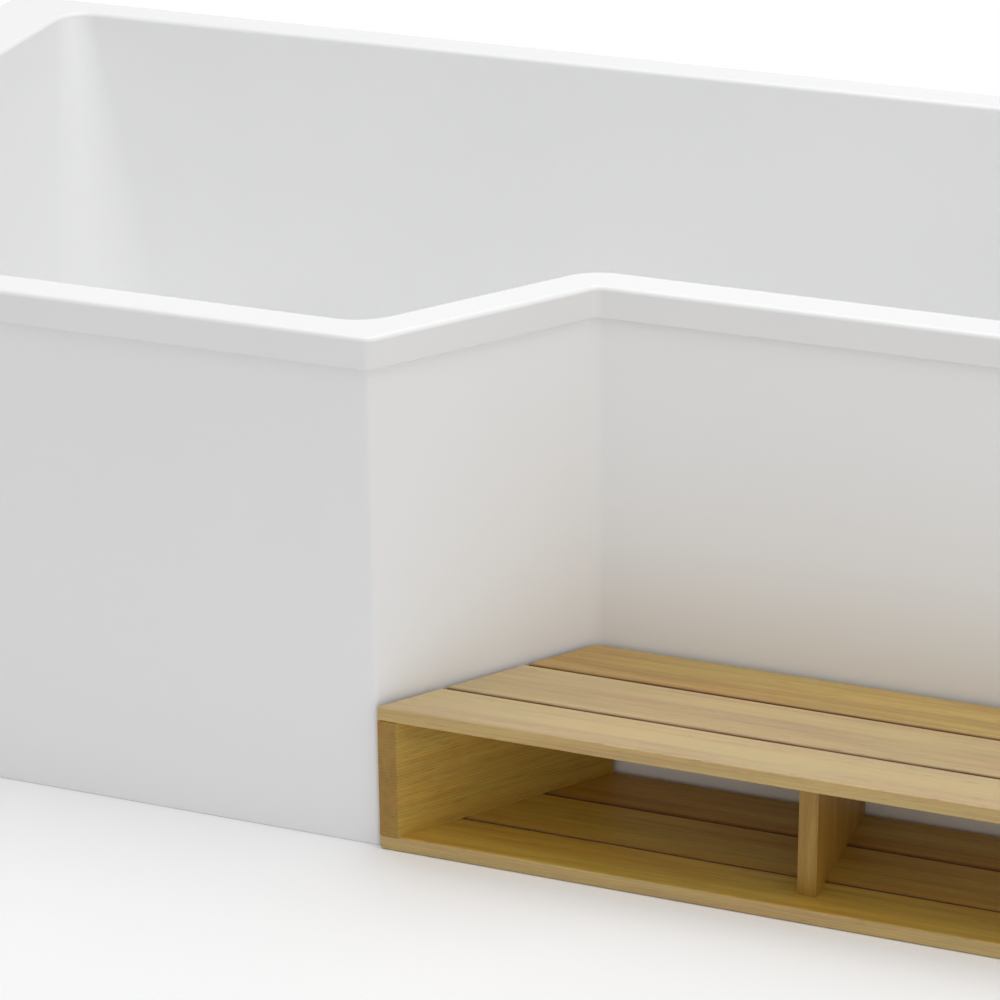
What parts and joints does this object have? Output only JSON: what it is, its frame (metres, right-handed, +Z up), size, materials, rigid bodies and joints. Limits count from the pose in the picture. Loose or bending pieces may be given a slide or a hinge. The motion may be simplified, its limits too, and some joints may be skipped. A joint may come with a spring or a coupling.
{
  "type": "shower bath",
  "caption": "Asymmetric white shower bath with an oblique return, front panel, adjustable legs, pop-up waste and a timber step that fills the notch",
  "frame": {"origin": "on the floor, at the centre of the overall plan", "axes": "+X along the bath from the wide showering end to the reclining end, +Y from the front to the wall, +Z up"},
  "size_m": [1.7, 0.9, 0.54],
  "materials": {
    "acrylic": "gloss",
    "panel": "satin",
    "chipboard": "raw",
    "pine": "sawn",
    "dowel": "smooth",
    "oak": "oiled",
    "zinc_steel": "zinc plated",
    "chrome": "polished",
    "rubber": "matt",
    "cable": "matt",
    "white_plastic": "moulded",
    "grey_plastic": "moulded"
  },
  "bodies": {
    "bath": {"bath_shell": "acrylic", "base_board": "chipboard", "rim_battens": "pine", "front_panel": "panel", "floor_battens": "pine", "panel_clips": "zinc_steel", "clip_screws": "zinc_steel", "shower_leg_rail": "zinc_steel", "recline_leg_rail": "zinc_steel", "centre_foot_plate": "zinc_steel", "rail_screws": "zinc_steel", "foot_nuts": "zinc_steel", "wall_brackets": "zinc_steel", "bracket_screws": "zinc_steel", "waste_flange": "chrome", "waste_top_seal": "rubber", "waste_bottom_seal": "rubber", "waste_body": "white_plastic", "overflow_plate": "chrome", "overflow_seal": "rubber", "overflow_body": "white_plastic", "overflow_hose": "grey_plastic", "lift_cable": "cable", "trap_nut": "white_plastic", "trap_seal": "rubber", "trap_body": "white_plastic", "trap_cap": "white_plastic", "outlet_nut": "white_plastic", "outlet_seal": "rubber"},
    "plug": {"plug_cap": "chrome", "plug_seal": "rubber", "plug_stem": "chrome"},
    "knob": {"overflow_knob": "chrome", "overflow_spindle": "chrome"},
    "shower_front_foot": {"shower_front_pad": "grey_plastic", "shower_front_rod": "zinc_steel"},
    "shower_back_foot": {"shower_back_pad": "grey_plastic", "shower_back_rod": "zinc_steel"},
    "recline_front_foot": {"recline_front_pad": "grey_plastic", "recline_front_rod": "zinc_steel"},
    "recline_back_foot": {"recline_back_pad": "grey_plastic", "recline_back_rod": "zinc_steel"},
    "centre_foot": {"centre_pad": "grey_plastic", "centre_rod": "zinc_steel"},
    "step": {"deck_plank_front": "oak", "deck_plank_middle": "oak", "deck_plank_back": "oak", "floor_plank_front": "oak", "floor_plank_middle": "oak", "floor_plank_back": "oak", "left_board": "oak", "middle_divider": "oak", "right_board": "oak", "step_dowels": "dowel", "step_screws": "zinc_steel"}
  },
  "joints": [
    {"name": "knob_turn", "type": "hinge", "parent": "bath", "child": "knob", "pos_m": [-0.75568, 0, 0.46], "axis": [0.9957, 0, 0.0925], "range_deg": [0, 90]},
    {"name": "plug_lift", "type": "slide", "parent": "bath", "child": "plug", "axis": [0, 0, 1], "range_m": [0, 0.01]},
    {"name": "shower_front_foot_adjust", "type": "slide", "parent": "bath", "child": "shower_front_foot", "axis": [0, 0, 1], "range_m": [-0.012, 0.012]},
    {"name": "shower_back_foot_adjust", "type": "slide", "parent": "bath", "child": "shower_back_foot", "axis": [0, 0, 1], "range_m": [-0.012, 0.012]},
    {"name": "recline_front_foot_adjust", "type": "slide", "parent": "bath", "child": "recline_front_foot", "axis": [0, 0, 1], "range_m": [-0.012, 0.012]},
    {"name": "recline_back_foot_adjust", "type": "slide", "parent": "bath", "child": "recline_back_foot", "axis": [0, 0, 1], "range_m": [-0.012, 0.012]},
    {"name": "centre_foot_adjust", "type": "slide", "parent": "bath", "child": "centre_foot", "axis": [0, 0, 1], "range_m": [-0.012, 0.012]},
    {"name": "step_pull_out", "type": "slide", "parent": "bath", "child": "step", "axis": [0, -1, 0], "range_m": [0, 0.25]}
  ],
  "couplings": [
    {"joint": "plug_lift", "follows": "knob_turn", "m_per_rad": 0.00636}
  ]
}
